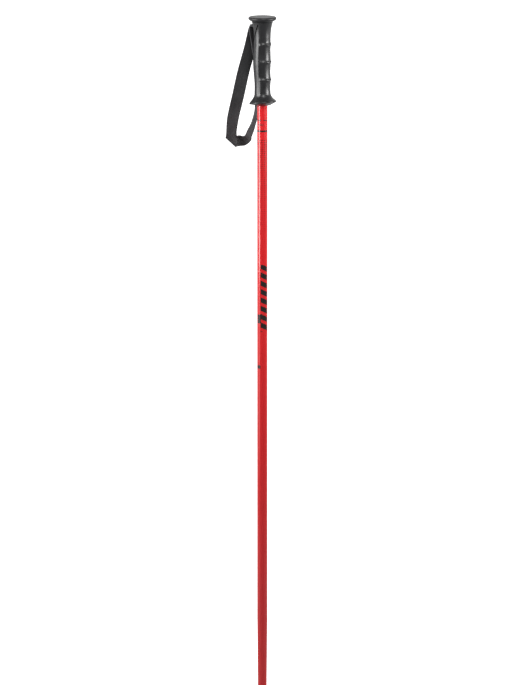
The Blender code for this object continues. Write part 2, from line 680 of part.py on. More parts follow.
build_grip_body(finish("grip_black", (0.025, 0.025, 0.027), 0.35))
build_grip_cap(finish("cap_black", (0.030, 0.030, 0.032), 0.38))
build_strap_wedge(finish("wedge_black", (0.025, 0.025, 0.027), 0.35))
build_strap_pin(finish("pin_steel", (0.60, 0.60, 0.62), 0.30, 1.0))
build_strap(finish("webbing_black", (0.030, 0.030, 0.032), 0.85))
build_tube(finish("tube_red", (0.62, 0.020, 0.025), 0.18, 0.2))
build_end_cap(finish("end_cap_black", (0.030, 0.030, 0.032), 0.50))
build_ferrule(finish("ferrule_black", (0.025, 0.025, 0.027), 0.45))
build_point(finish("point_steel", (0.55, 0.55, 0.57), 0.30, 1.0))
build_basket(finish("basket_black", (0.025, 0.025, 0.027), 0.45))
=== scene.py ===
# %% [markdown]
# # A ski pole
# This lesson gives a finished look to a ski pole: a black moulded grip with a strap lock, a loop of
# webbing, a red lacquered tube, a plastic ferrule and basket, and a steel point. The solid pieces,
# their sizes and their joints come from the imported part. Here each piece that shows gets its fine
# shape and its finish, and then the pole is lit and seen as in a small studio.

# %% Load the part
import math
import bmesh
import bpy
from mathutils import Matrix, Vector


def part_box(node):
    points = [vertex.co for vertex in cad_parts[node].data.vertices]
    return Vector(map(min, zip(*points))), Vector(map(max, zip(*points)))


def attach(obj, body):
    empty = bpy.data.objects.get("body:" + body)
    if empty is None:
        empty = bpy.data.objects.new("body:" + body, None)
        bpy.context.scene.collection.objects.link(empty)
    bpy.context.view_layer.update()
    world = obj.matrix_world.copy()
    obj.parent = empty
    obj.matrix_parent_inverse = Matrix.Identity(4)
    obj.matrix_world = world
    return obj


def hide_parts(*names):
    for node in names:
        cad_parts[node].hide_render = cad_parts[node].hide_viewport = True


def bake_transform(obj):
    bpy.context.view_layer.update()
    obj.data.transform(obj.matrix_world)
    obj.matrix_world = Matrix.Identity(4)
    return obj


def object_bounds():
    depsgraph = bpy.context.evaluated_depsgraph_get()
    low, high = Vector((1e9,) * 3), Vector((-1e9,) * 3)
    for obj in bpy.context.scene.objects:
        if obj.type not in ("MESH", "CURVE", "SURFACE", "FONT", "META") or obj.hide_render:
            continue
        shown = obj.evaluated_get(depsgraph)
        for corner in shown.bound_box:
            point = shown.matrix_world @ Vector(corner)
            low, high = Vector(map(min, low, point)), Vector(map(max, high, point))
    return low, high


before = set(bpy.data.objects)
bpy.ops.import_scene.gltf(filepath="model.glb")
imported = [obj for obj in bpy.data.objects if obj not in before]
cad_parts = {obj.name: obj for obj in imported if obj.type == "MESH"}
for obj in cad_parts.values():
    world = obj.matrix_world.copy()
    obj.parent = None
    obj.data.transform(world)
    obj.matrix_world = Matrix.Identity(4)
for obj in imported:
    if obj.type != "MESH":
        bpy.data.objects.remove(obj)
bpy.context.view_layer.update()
print("pieces in the part:", ", ".join(sorted(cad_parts)))

# %% [markdown]
# ## Small helpers for meshes
# Most pieces of a pole are turned: one outline swept round the axis of the tube. Blender's spin
# operator does that from a chain of edges. Its two ends meet after a full turn, so it is told to
# merge them, and the normals are worked out again because a spin may leave them inside out.

# %% Turned shapes
def add_piece(name, shape, finish, body, sharp=35):
    """Makes the bmesh an object that rides on a body of the part."""
    mesh = bpy.data.meshes.new(name)
    shape.to_mesh(mesh)
    shape.free()
    mesh.materials.append(finish)
    mesh.shade_smooth()
    mesh.set_sharp_from_angle(angle=math.radians(sharp))
    piece = bpy.data.objects.new(name, mesh)
    bpy.context.scene.collection.objects.link(piece)
    if body is not None:
        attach(piece, body)
    print(name, "has", len(mesh.polygons), "faces")
    return piece


def turned(profile, steps=96, closed=False):
    """Spins (radius, height) points, listed down the outer side, round the axis of the pole."""
    shape = bmesh.new()
    points = [shape.verts.new((radius, 0.0, height)) for radius, height in profile]
    edges = [shape.edges.new(pair) for pair in zip(points, points[1:])]
    if closed:
        edges.append(shape.edges.new((points[-1], points[0])))
    bmesh.ops.spin(
        shape, geom=points + edges, cent=(0, 0, 0), axis=(0, 0, 1), angle=2 * math.pi,
        steps=steps, use_merge=True)
    bmesh.ops.remove_doubles(shape, verts=shape.verts, dist=0.000002)
    bmesh.ops.recalc_face_normals(shape, faces=shape.faces)
    return shape


def soften(shape, width, angle=24, segments=3):
    """Rounds every edge that turns by more than an angle."""
    edges = [edge for edge in shape.edges if edge.calc_face_angle(0.0) > math.radians(angle)]
    bmesh.ops.bevel(
        shape, geom=edges, offset=width, offset_type="OFFSET", segments=segments,
        profile=0.5, affect="EDGES", clamp_overlap=True, material=-1)
    return shape


# %% Cuts with a flat outline
def loose(name, shape):
    """Makes the bmesh an object that rides on nothing, such as a cutter or the floor."""
    mesh = bpy.data.meshes.new(name)
    shape.to_mesh(mesh)
    shape.free()
    item = bpy.data.objects.new(name, mesh)
    bpy.context.scene.collection.objects.link(item)
    return item


def prism(name, outline, half_width):
    """A closed block: an outline in X and Z, swept along Y. It cuts, and is removed afterwards."""
    shape = bmesh.new()
    corners = [shape.verts.new((x, -half_width, z)) for x, z in outline]
    side = bmesh.ops.contextual_create(shape, geom=corners)["faces"]
    swept = bmesh.ops.extrude_face_region(shape, geom=side)["geom"]
    moved = [item for item in swept if isinstance(item, bmesh.types.BMVert)]
    bmesh.ops.translate(shape, verts=moved, vec=(0.0, 2 * half_width, 0.0))
    bmesh.ops.recalc_face_normals(shape, faces=shape.faces)
    return loose(name, shape)


def carve(piece, steps):
    """Runs Boolean steps of (cutter, operation) on a piece, keeps the result, removes the cutters."""
    for cutter, operation in steps:
        step = piece.modifiers.new(cutter.name, "BOOLEAN")
        step.operation = operation
        step.solver = "EXACT"
        step.object = cutter
    bpy.context.view_layer.update()
    result = bpy.data.meshes.new_from_object(piece.evaluated_get(bpy.context.evaluated_depsgraph_get()))
    piece.modifiers.clear()
    result.name = piece.name
    piece.data = result
    for cutter, operation in steps:
        bpy.data.objects.remove(cutter)
    result.shade_smooth()
    result.set_sharp_from_angle(angle=math.radians(35))
    print(piece.name, "after its cuts has", len(result.polygons), "faces")


# %% [markdown]
# ## Small helpers for finishes
# Every finish is one Principled shader. What is the same all over is typed straight into its
# sockets. What varies, such as grain, wear or print, is built with texture and maths nodes that
# read the piece's own Object coordinates in metres, or its UV map on the webbing.

# %% Nodes
def new_finish(name, **sockets):
    """A material with its Principled shader set, as (material, node tree, shader)."""
    material = bpy.data.materials.new(name)
    material.use_nodes = True
    tree = material.node_tree
    shader = tree.nodes["Principled BSDF"]
    for socket, value in sockets.items():
        shader.inputs[socket.replace("_", " ")].default_value = value
    return material, tree, shader


def place(tree, scale=(1.0, 1.0, 1.0)):
    """Object coordinates, in metres, stretched by a scale."""
    where = tree.nodes.new("ShaderNodeTexCoord")
    mapping = tree.nodes.new("ShaderNodeMapping")
    mapping.inputs["Scale"].default_value = scale
    tree.links.new(where.outputs["Object"], mapping.inputs["Vector"])
    return mapping.outputs["Vector"]


def noise(tree, vector, scale, detail=3.0, roughness=0.5):
    cloud = tree.nodes.new("ShaderNodeTexNoise")
    cloud.inputs["Scale"].default_value = scale
    cloud.inputs["Detail"].default_value = detail
    cloud.inputs["Roughness"].default_value = roughness
    tree.links.new(vector, cloud.inputs["Vector"])
    return cloud.outputs["Fac"]


def maths(tree, operation, *values):
    """One maths node on sockets or numbers."""
    node = tree.nodes.new("ShaderNodeMath")
    node.operation = operation
    for socket, value in zip(node.inputs, values):
        if isinstance(value, (int, float)):
            socket.default_value = value
        else:
            tree.links.new(value, socket)
    return node.outputs[0]


def spread(tree, value, low, high, to_low, to_high):
    """Maps low..high to another range, and holds the ends."""
    node = tree.nodes.new("ShaderNodeMapRange")
    tree.links.new(value, node.inputs["Value"])
    for socket, number in zip(list(node.inputs)[1:5], (low, high, to_low, to_high)):
        socket.default_value = number
    return node.outputs["Result"]


def blended(tree, share, first, second):
    """A mix of two colours, each a socket or three numbers."""
    node = tree.nodes.new("ShaderNodeMix")
    node.data_type = "RGBA"
    tree.links.new(share, node.inputs["Factor"])
    for socket, colour in ((node.inputs[6], first), (node.inputs[7], second)):
        if isinstance(colour, tuple):
            socket.default_value = (*colour, 1.0)
        else:
            tree.links.new(colour, socket)
    return node.outputs[2]


def raise_surface(tree, shader, height, distance, strength=1.0):
    """Bump: the surface rises by a distance where the height is 1."""
    bump = tree.nodes.new("ShaderNodeBump")
    bump.inputs["Strength"].default_value = strength
    bump.inputs["Distance"].default_value = distance
    tree.links.new(height, bump.inputs["Height"])
    tree.links.new(bump.outputs["Normal"], shader.inputs["Normal"])


# %% [markdown]
# ## Moulded plastic
# The grip is injection moulded in black plastic. Such plastic isn't evenly black: the mould leaves a
# fine grain, hands polish it in patches, and it picks up faint grey scuffs. Three noises of
# different sizes give those three things. The lower pieces use the same recipe with a duller skin.

# %% Finishes for the plastic pieces
def plastic(name, colour, scuffed, roughness, polish, grain, shine=0.5):
    material, tree, shader = new_finish(name, Roughness=roughness, Specular_IOR_Level=shine)
    vector = place(tree)
    patches = spread(tree, noise(tree, vector, 55.0), 0.35, 0.70, 0.0, 1.0)
    streaks = noise(tree, place(tree, (1.0, 1.0, 0.35)), 420.0, 6.0, 0.65)
    scuffs = spread(tree, streaks, 0.60, 0.74, 0.0, 0.55)
    fine = noise(tree, vector, 2600.0, 2.0)
    skin = blended(tree, patches, colour, tuple(1.45 * part for part in colour))
    skin = blended(tree, scuffs, skin, scuffed)
    tree.links.new(skin, shader.inputs["Base Color"])
    dull = spread(tree, patches, 0.0, 1.0, roughness - polish, roughness + polish)
    dull = maths(tree, "MULTIPLY_ADD", scuffs, 0.10, dull)
    tree.links.new(dull, shader.inputs["Roughness"])
    raise_surface(tree, shader, fine, grain, 0.6)
    return material


GRIP_BLACK = plastic("grip_black", (0.012, 0.012, 0.013), (0.030, 0.030, 0.031), 0.35, 0.03, 0.00001)
CAP_BLACK = plastic("cap_black", (0.016, 0.016, 0.017), (0.040, 0.040, 0.041), 0.40, 0.04, 0.00002, 0.3)
TIP_BLACK = plastic("tip_black", (0.017, 0.017, 0.018), (0.075, 0.075, 0.078), 0.46, 0.07, 0.00006)
print("plastic finishes:", GRIP_BLACK.name, CAP_BLACK.name, TIP_BLACK.name)

# %% [markdown]
# ## The grip
# The grip isn't round. Its palm side swells smoothly, and its finger side is flatter, with three
# ridges between the finger grooves. A soft crest runs down each flank where the two sides meet. It
# could be lofted from many drawn sections, but it is simpler to spin it round first and then push
# every point in or out by a rule that knows the angle and the height. The hand stop at the bottom
# slopes down towards the palm side, and its rim sits a millimetre forward of the tube's axis.

# %% Sizes of the grip
NECK_TOP_Z = 0.0610
GRIP_BOTTOM_Z = -0.0675
SHOULDER_Z = -0.0500
FLANGE_Z = -0.0634
FLANGE_EDGE = 0.0034
FLANGE_RADIUS = 0.0210
FLANGE_TILT = 0.12
NECK_RADIUS = 0.0163
THROAT_Z = 0.0385
RIDGE_Z = (0.0267, -0.0004, -0.0280)
FINGER_RADIUS = 0.0130
PALM_RADIUS = 0.0144
WAIST_RADIUS = 0.0121
EDGE_Z = FLANGE_Z + FLANGE_EDGE / 2
FINGER_HALF_ANGLE = math.radians(63)
FINGER_STEP_ANGLE = math.radians(16)
TILT_START = 0.010
FLARE_POWER = 1.9
STOP_FORWARD = 0.0011


def ease(value):
    """0 below 0, 1 above 1, and a smooth step between."""
    value = min(max(value, 0.0), 1.0)
    return value * value * (3.0 - 2.0 * value)


def neck_flare(height, throat):
    share = max(0.0, (height - THROAT_Z) / (NECK_TOP_Z - THROAT_Z))
    return (NECK_RADIUS - throat) * share ** 2


def palm_radius(height):
    throat = PALM_RADIUS - 0.0013
    knots = (
        (FLANGE_Z, WAIST_RADIUS + 0.0006), (-0.040, WAIST_RADIUS), (0.0, PALM_RADIUS), (THROAT_Z, throat))
    radius = throat
    for (low, start), (high, end) in zip(knots, knots[1:]):
        if low <= height <= high:
            radius = start + (end - start) * ease((height - low) / (high - low))
    if height < FLANGE_Z:
        radius = knots[0][1]
    return radius + neck_flare(height, throat)


def finger_radius(height):
    """The finger side: grooves that are slightly hollow, and crisp ridges between them."""
    pitch = (RIDGE_Z[0] - RIDGE_Z[-1]) / (len(RIDGE_Z) - 1)
    hollow = 0.0006 * (1.0 - math.cos(2 * math.pi * (height - RIDGE_Z[0]) / pitch)) / 2
    ridge = sum(math.exp(-(abs(height - z) / 0.0019) ** 1.5) for z in RIDGE_Z)
    held = FINGER_RADIUS - hollow * ease((THROAT_Z - height) / 0.0088)
    return held + 0.0013 * ridge + neck_flare(height, FINGER_RADIUS)


def grip_radius(angle, height):
    turned_by = abs(math.remainder(angle, 2 * math.pi))
    palm = ease((turned_by - FINGER_HALF_ANGLE) / FINGER_STEP_ANGLE + 0.5)
    return finger_radius(height) * (1.0 - palm) + palm_radius(height) * palm


print("grip at its waist:", round(2000 * grip_radius(math.pi, -0.040), 1), "mm across")

# %% Spin the grip and shape it
def rim_profile():
    """The hand stop's rounded edge and its underside, as (radius, height) points."""
    steps = 8
    middle = FLANGE_RADIUS - FLANGE_EDGE / 2
    points = []
    for step in range(1, steps + 1):
        angle = math.radians(60 - 150 * step / steps)
        points.append((
            middle + FLANGE_EDGE / 2 * math.cos(angle), FLANGE_Z + FLANGE_EDGE / 2 * math.sin(angle)))
    return points + [
        (0.0165, -0.0662), (0.0130, GRIP_BOTTOM_Z + 0.0001), (0.0123, GRIP_BOTTOM_Z), (0.0, GRIP_BOTTOM_Z)]


def grip_form():
    """The whole outer form of the grip, closed, before anything is cut from it."""
    rows = 190
    profile = [(0.0, NECK_TOP_Z), (NECK_RADIUS - 0.0004, NECK_TOP_Z)]
    profile += [(0.0140, NECK_TOP_Z - 0.0003 - (NECK_TOP_Z - EDGE_Z) * row / rows) for row in range(rows)]
    shape = turned(profile + rim_profile(), 144)
    for point in shape.verts:
        x, y, z = point.co
        radius = math.hypot(x, y)
        tilt = FLANGE_TILT * ease((SHOULDER_Z + TILT_START - z) / TILT_START)
        if z < FLANGE_Z - FLANGE_EDGE / 2:
            tilt = FLANGE_TILT * max(0.0, (z - GRIP_BOTTOM_Z) / (FLANGE_Z - FLANGE_EDGE / 2 - GRIP_BOTTOM_Z))
        if EDGE_Z < z < NECK_TOP_Z - 0.0002:
            own = grip_radius(math.atan2(y, x), z)
            flare = max(0.0, (SHOULDER_Z - z) / (SHOULDER_Z - EDGE_Z)) ** FLARE_POWER
            wanted = own + (FLANGE_RADIUS - FLANGE_EDGE / 4 - own) * flare
            x, y = x * wanted / radius, y * wanted / radius
        forward = STOP_FORWARD * ease((math.hypot(x, y) - 0.0145) / 0.0065) if z < 0.0 else 0.0
        point.co = (x + forward, y, z + tilt * x)
    bmesh.ops.recalc_face_normals(shape, faces=shape.faces)
    return shape


# %% [markdown]
# ## The strap lock
# Near the top of the palm side a wedge is cut free of the grip by a slanted seam. The strap comes
# out of a slot in the wedge's top. Drawn back out of the grip, the wedge lets the strap slide, and
# pushed home it clamps it. The wedge has to follow the grip's surface exactly, so both are cut out
# of the same form: the grip loses the bay, and the wedge keeps what lies in a slightly smaller block.

# %% Cut the bay and the wedge
WEDGE_TOP_Z = 0.0580
WEDGE_BOTTOM_Z = 0.0240
GAP = 0.0003
OUTSIDE = -0.040
RAMP_TOP_X = 0.0061
RAMP_SLOPE = 0.517
SEAM_LOW = 0.0014
SEAM_HIGH = 0.0022
BORE_RADIUS = 0.0083
SOCKET_RADIUS = 0.0089


def ramp_x(height):
    return RAMP_TOP_X - RAMP_SLOPE * (WEDGE_TOP_Z - height)


def drilled(name, radius, low, high):
    """A round bar on the pole's axis, for a bore."""
    shape = bmesh.new()
    bmesh.ops.create_cone(
        shape, cap_ends=True, segments=96, radius1=radius, radius2=radius, depth=high - low,
        matrix=Matrix.Translation((0.0, 0.0, (low + high) / 2)))
    return loose(name, shape)


low = WEDGE_BOTTOM_Z - GAP
bay = ((OUTSIDE, low), (ramp_x(low), low), (ramp_x(WEDGE_TOP_Z), WEDGE_TOP_Z), (OUTSIDE, WEDGE_TOP_Z))
grip = add_piece("grip_shell", grip_form(), GRIP_BLACK, "pole")
carve(grip, [
    (prism("bay", bay, 0.04), "DIFFERENCE"),
    (drilled("bore", BORE_RADIUS, -0.080, 0.0210), "DIFFERENCE"),
    (drilled("socket", SOCKET_RADIUS, 0.0583, 0.070), "DIFFERENCE"),
])
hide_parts("grip_body")

high = WEDGE_TOP_Z - GAP
block = ((OUTSIDE, WEDGE_BOTTOM_Z), (ramp_x(WEDGE_BOTTOM_Z) - SEAM_LOW, WEDGE_BOTTOM_Z),
         (ramp_x(high) - SEAM_HIGH, high), (OUTSIDE, high))
room = (
    (OUTSIDE, 0.0534), (-0.0108, 0.0534), (-0.0108, 0.0452),
    (0.020, 0.0452), (0.020, 0.062), (OUTSIDE, 0.062))
wedge = add_piece("lock_wedge", grip_form(), GRIP_BLACK, "strap_lock")
carve(wedge, [
    (prism("block", block, 0.04), "INTERSECT"),
    (prism("strap_room", room, 0.0107), "DIFFERENCE"),
])
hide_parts("strap_wedge")

# %% [markdown]
# ## The cap
# A round cap closes the grip. It is a turned button with a broad flat top, a full round edge and a
# concave underside that runs into the neck. The profile has only the corners of that shape, and a
# curve through them fills in the roundness, the way a lathe tool would.

# %% Turn the cap
def through(points, steps=6):
    """A smooth curve through (radius, height) points."""
    points = [Vector(point) for point in points]
    points = [2 * points[0] - points[1], *points, 2 * points[-1] - points[-2]]
    curve = []
    for a, b, c, d in zip(points, points[1:], points[2:], points[3:]):
        for step in range(steps):
            t = step / steps
            curve.append(tuple(0.5 * (
                2 * b + (c - a) * t + (2 * a - 5 * b + 4 * c - d) * t ** 2
                + (3 * b - a - 3 * c + d) * t ** 3)))
    return curve + [tuple(points[-2])]


CAP_TOP_Z = 0.0695
rim = (
    (0.0165, 0.0), (0.0197, 0.0003), (0.0211, 0.0010), (0.0217, 0.0023), (0.0216, 0.0037),
    (0.0208, 0.0050), (0.0190, 0.0062), (0.0171, 0.0073), (0.0161, 0.0082))
edge = through([(radius, CAP_TOP_Z - drop) for radius, drop in rim])
top = [(radius, CAP_TOP_Z) for radius in (0.0, 0.0040, 0.0100, 0.0150)]
under = [(0.0086, CAP_TOP_Z - 0.0082), (0.0086, CAP_TOP_Z - 0.0106), (0.0, CAP_TOP_Z - 0.0106)]
cap = add_piece("cap_button", turned(top + edge + under, 144), CAP_BLACK, "pole")
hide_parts("grip_cap")

# %% [markdown]
# ## The strap
# The wrist strap is a flat black webbing, 20 mm wide. It goes into the lock, round a steel pin and
# out again, and its loop hangs beside the grip. At the bottom the webbing turns over in a slanted
# fold, so that its two legs lie at an angle to each other. A cloth simulation would blur that fold,
# so the strap is made the way a tailor would: a flat strip is divided finely, and every point of it
# is laid in its place along the loop. The strip keeps its real length and width. Each station of
# the route gives the middle of the webbing and the way its width points.

# %% The loop's route
STRAP_WIDTH = 0.020
STRAP_THICKNESS = 0.0014
COLUMNS = 12
FOLD_RADIUS = 0.0045
FOLD_SLANT = math.radians(49)
FOLD_TURN = math.radians(220)
FOLD_LEAD = 0.009
INNER_LAYER_Z = 0.0544
OUTER_LAYER_Z = 0.0562
PIN = (-0.0046, 0.0488)
PIN_WRAP = 0.0025
LEVEL = (0.0, 1.0, 0.0)
OUTER_LEG = (
    ((-0.0153, 0.0, OUTER_LAYER_Z), LEVEL), ((-0.0163, 0.0, OUTER_LAYER_Z), LEVEL),
    ((-0.0173, 0.0000, 0.0546), LEVEL), ((-0.0207, 0.0000, 0.0470), (0.02, 1.00, 0.00)),
    ((-0.0252, -0.0010, 0.0217), (0.30, 0.95, -0.12)), ((-0.0340, -0.0073, -0.0190), (0.36, 0.92, -0.20)),
    ((-0.0406, -0.0123, -0.0564), (0.36, 0.92, -0.20)), ((-0.0466, -0.0169, -0.0892), (0.29, 0.94, -0.20)))
FOLD_START = Vector((-0.0490, -0.0181, -0.1213))
FOLD_HEADING = Vector((0.00, 0.03, -1.00)).normalized()
FOLD_WIDTH = Vector((0.10, 0.95, -0.30))
FOLD_WIDTH = (FOLD_WIDTH - FOLD_WIDTH.project(FOLD_HEADING)).normalized()
INNER_LEG = (
    ((-0.0384, 0.0055, -0.1225), (-0.38, 0.72, -0.58)), ((-0.0355, 0.0090, -0.1134), (-0.29, 0.92, -0.26)),
    ((-0.0328, 0.0125, -0.1025), (-0.44, 0.82, -0.36)), ((-0.0312, 0.0147, -0.0935), (-0.44, 0.89, -0.14)),
    ((-0.0291, 0.0161, -0.0754), (-0.55, 0.84, 0.00)), ((-0.0260, 0.0151, -0.0405), (-0.48, 0.88, 0.00)),
    ((-0.0227, 0.0112, -0.0041), (-0.32, 0.95, 0.00)), ((-0.0195, 0.0035, 0.0340), (-0.08, 1.00, 0.00)),
    ((-0.0180, 0.0000, 0.0465), LEVEL), ((-0.0176, 0.0000, 0.0515), LEVEL),
    ((-0.0163, 0.0, INNER_LAYER_Z), LEVEL), ((-0.0153, 0.0, INNER_LAYER_Z), LEVEL))


def smooth_route(stations, steps):
    """A smooth curve through (centre, width) stations."""
    centres = through([centre for centre, width in stations], steps)
    widths = through([Vector(width).normalized() for centre, width in stations], steps)
    return list(zip(map(Vector, centres), map(Vector, widths)))


def straight_rows(route):
    """Rows of points across the webbing, square to its route."""
    rows = []
    for index, (centre, width) in enumerate(route):
        ahead = route[min(index + 1, len(route) - 1)][0] - route[max(index - 1, 0)][0]
        across = (width - width.project(ahead)).normalized() * STRAP_WIDTH
        rows.append([centre + across * (column / COLUMNS - 0.5) for column in range(COLUMNS + 1)])
    return rows


# %% The slanted fold
def fold_point(run, across):
    """Where a point of the flat webbing lies once it is rolled over the slanted fold."""
    normal = FOLD_WIDTH.cross(FOLD_HEADING)
    sine, cosine = math.sin(FOLD_SLANT), math.cos(FOLD_SLANT)
    onward = sine * FOLD_HEADING - cosine * FOLD_WIDTH
    beyond = run * sine - across * cosine
    beside = run * cosine + across * sine
    angle = min(max(beyond / FOLD_RADIUS, 0.0), FOLD_TURN)
    rolled = FOLD_RADIUS * (math.sin(angle) * onward + (1.0 - math.cos(angle)) * normal)
    leaving = math.cos(angle) * onward + math.sin(angle) * normal
    crease = cosine * FOLD_HEADING + sine * FOLD_WIDTH
    return FOLD_START + beside * crease + rolled + (beyond - angle * FOLD_RADIUS) * leaving


def fold_rows(count=64):
    last = (FOLD_TURN * FOLD_RADIUS + STRAP_WIDTH / 2 * math.cos(FOLD_SLANT)) / math.sin(FOLD_SLANT) + GAP
    runs = [-FOLD_LEAD + (last + FOLD_LEAD) * index / count for index in range(count + 1)]
    offsets = [STRAP_WIDTH * (column / COLUMNS - 0.5) for column in range(COLUMNS + 1)]
    return [[fold_point(run, offset) for offset in offsets] for run in runs]


def station(row):
    return tuple(row[COLUMNS // 2]), tuple(row[-1] - row[0])


def lock_route():
    """Inside the lock: in on the inner layer, round the pin and out on the outer layer."""
    x, z = PIN
    turns = [-math.pi * index / 8 for index in range(9)]
    wrap = [(x + PIN_WRAP * math.cos(turn), z + PIN_WRAP * math.sin(turn)) for turn in turns]
    centres = [
        (-0.0153, OUTER_LAYER_Z), (-0.0100, OUTER_LAYER_Z), (x - 0.0003, OUTER_LAYER_Z - 0.0006),
        (x + PIN_WRAP - 0.0004, z + 0.0040), *wrap, (x - PIN_WRAP - 0.0007, z + 0.0030),
        (x - PIN_WRAP - 0.0028, INNER_LAYER_Z - 0.0004), (-0.0118, INNER_LAYER_Z), (-0.0153, INNER_LAYER_Z)]
    return smooth_route([((cx, 0.0, cz), LEVEL) for cx, cz in reversed(centres)], 4)


fold = fold_rows()
step_back = len(fold) // 12
down = smooth_route([*OUTER_LEG, station(fold[0]), station(fold[step_back])], 12)
up = smooth_route([station(fold[-1 - step_back]), station(fold[-1]), *INNER_LEG], 12)
rows = straight_rows(down[:-13]) + fold + straight_rows(up[13:]) + straight_rows(lock_route()[1:])
lengths = [0.0]
for before, after in zip(rows, rows[1:]):
    lengths.append(lengths[-1] + (after[COLUMNS // 2] - before[COLUMNS // 2]).length)
print("webbing in the loop and the lock:", round(1000 * lengths[-1]), "mm")

# %% [markdown]
# ## Webbing
# Polyester webbing for straps is a twill: its yarns cross in slanted ribs, and each long edge has a
# narrow selvedge with its own ribs. The pattern reads the strip's UV map, which holds metres across
# and along the webbing, so the ribs follow every bend. The rib heights drive the bump, and the
# grooves between them are painted darker as painted shade. Loose fibres scatter light, which the
# sheen stands for.

# %% The webbing's finish
def ribs(tree, across, along, rib, slant, pitch_along):
    """Heights of slanted ribs: rounded yarns with dips where they dive under their neighbours."""
    lean = maths(tree, "MULTIPLY_ADD", along, slant, across)
    wave = maths(tree, "ABSOLUTE", maths(tree, "SINE", maths(tree, "MULTIPLY", lean, math.pi / rib)))
    dive = maths(tree, "MULTIPLY_ADD", across, -0.5, along)
    dive = maths(tree, "ABSOLUTE", maths(tree, "SINE", maths(tree, "MULTIPLY", dive, math.pi / pitch_along)))
    crown = maths(tree, "POWER", wave, 0.6)
    return maths(tree, "MULTIPLY", crown, maths(tree, "MULTIPLY_ADD", dive, 0.5, 0.5))


def webbing():
    material, tree, shader = new_finish(
        "webbing_black", Roughness=0.85, Specular_IOR_Level=0.0, Sheen_Weight=0.02, Sheen_Roughness=0.5)
    cloth = tree.nodes.new("ShaderNodeUVMap")
    cloth.uv_map = "cloth"
    parts = tree.nodes.new("ShaderNodeSeparateXYZ")
    tree.links.new(cloth.outputs["UV"], parts.inputs["Vector"])
    across, along = parts.outputs["X"], parts.outputs["Y"]
    body = ribs(tree, across, along, 0.0011, 0.85, 0.0016)
    edge = ribs(tree, across, along, 0.0006, 0.0, 0.0012)
    outward = maths(tree, "ABSOLUTE", across)
    selvedge = spread(tree, outward, STRAP_WIDTH / 2 - 0.0016, STRAP_WIDTH / 2 - 0.0013, 0.0, 1.0)
    height = maths(tree, "ADD", maths(tree, "MULTIPLY", body, maths(tree, "SUBTRACT", 1.0, selvedge)),
                   maths(tree, "MULTIPLY", edge, selvedge))
    fuzz = noise(tree, place(tree), 1800.0, 4.0, 0.7)
    cloudy = noise(tree, place(tree), 60.0)
    # The grooves between the ribs are painted darker: painted shade, mixed with random cloudy tone and fibre
    # fuzz.
    groove_shade_and_tone = maths(tree, "MULTIPLY", height, spread(tree, cloudy, 0.3, 0.7, 0.75, 1.0))
    groove_shade_and_tone = maths(tree, "MULTIPLY_ADD", fuzz, 0.25, groove_shade_and_tone)
    skin = blended(tree, groove_shade_and_tone, (0.015, 0.015, 0.016), (0.088, 0.088, 0.091))
    tree.links.new(skin, shader.inputs["Base Color"])
    tree.links.new(spread(tree, height, 0.0, 1.0, 0.92, 0.62), shader.inputs["Roughness"])
    raise_surface(tree, shader, maths(tree, "MULTIPLY_ADD", fuzz, 0.3, height), 0.00022, 0.9)
    return material


WEBBING_BLACK = webbing()

# %% Lay the flat strip along the route
strip = bmesh.new()
cloth = strip.loops.layers.uv.new("cloth")
bmesh.ops.create_grid(strip, x_segments=COLUMNS, y_segments=len(rows) - 1, size=0.5)
strip.verts.ensure_lookup_table()
flat = {}
for point in strip.verts:
    column = round((point.co.x + 0.5) * COLUMNS)
    row = round((point.co.y + 0.5) * (len(rows) - 1))
    flat[point] = (STRAP_WIDTH * (column / COLUMNS - 0.5), lengths[row])
    point.co = rows[row][column]
for face in strip.faces:
    for corner in face.loops:
        corner[cloth].uv = flat[corner.vert]
bmesh.ops.remove_doubles(strip, verts=strip.verts, dist=0.00002)
strap = add_piece("webbing_loop", strip, WEBBING_BLACK, None, sharp=80)
thick = strap.modifiers.new("thickness", "SOLIDIFY")
thick.thickness = STRAP_THICKNESS
thick.offset = 0.0
thick.use_even_offset = False
rounded = strap.modifiers.new("rounded_edges", "BEVEL")
rounded.width = 0.0005
rounded.segments = 3
rounded.limit_method = "ANGLE"
rounded.angle_limit = math.radians(60)
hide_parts("strap_in_lock", "wrist_strap")
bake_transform(strap)

# %% [markdown]
# ## Red lacquer and its print
# The tube is aluminium under a glossy red lacquer, with black print under the clear coat: rings, a
# field of dots that fades away down the tube, and bars. The red is painted darker towards the tip,
# partly as a deeper lacquer and partly as painted shade for the light that falls off down the tube.
# A transfer like that could be a picture, but it is only circles and bars in rows, so maths nodes
# draw it from the angle round the tube and the height along it.

# %% The print as masks
def between(tree, value, low, high, soft=0.00025):
    """1 where a value lies between two limits, with a soft edge."""
    rise = spread(tree, value, low - soft, low + soft, 0.0, 1.0)
    fall = spread(tree, value, high - soft, high + soft, 1.0, 0.0)
    return maths(tree, "MULTIPLY", rise, fall)


def repeated(tree, value, pitch):
    """How far a value is from the middle of its own cell, in cells of a pitch."""
    share = maths(tree, "FRACT", maths(tree, "DIVIDE", value, pitch))
    return maths(tree, "MULTIPLY", maths(tree, "SUBTRACT", share, 0.5), pitch)


def dots(tree, arc, height, top, bottom):
    """Rows of oval dots that get smaller and then vanish."""
    row = maths(tree, "MULTIPLY", repeated(tree, height, 0.00334), 2.0)
    spacing = 2 * math.pi * TUBE_RADIUS / 12
    column = repeated(tree, maths(tree, "ADD", arc, 0.5 * spacing + 0.0006), spacing)
    squares = maths(tree, "ADD", maths(tree, "MULTIPLY", row, row), maths(tree, "MULTIPLY", column, column))
    apart = maths(tree, "SQRT", squares)
    size = spread(tree, height, bottom, top, 0.0006, 0.00145)
    inside = maths(tree, "SUBTRACT", size, apart)
    dot = spread(tree, inside, -0.0002, 0.0002, 0.0, 1.0)
    fading = spread(tree, height, bottom, bottom + 0.06, 0.0, 1.0)
    return maths(tree, "MULTIPLY", maths(tree, "MULTIPLY", dot, fading), between(tree, height, bottom, top))


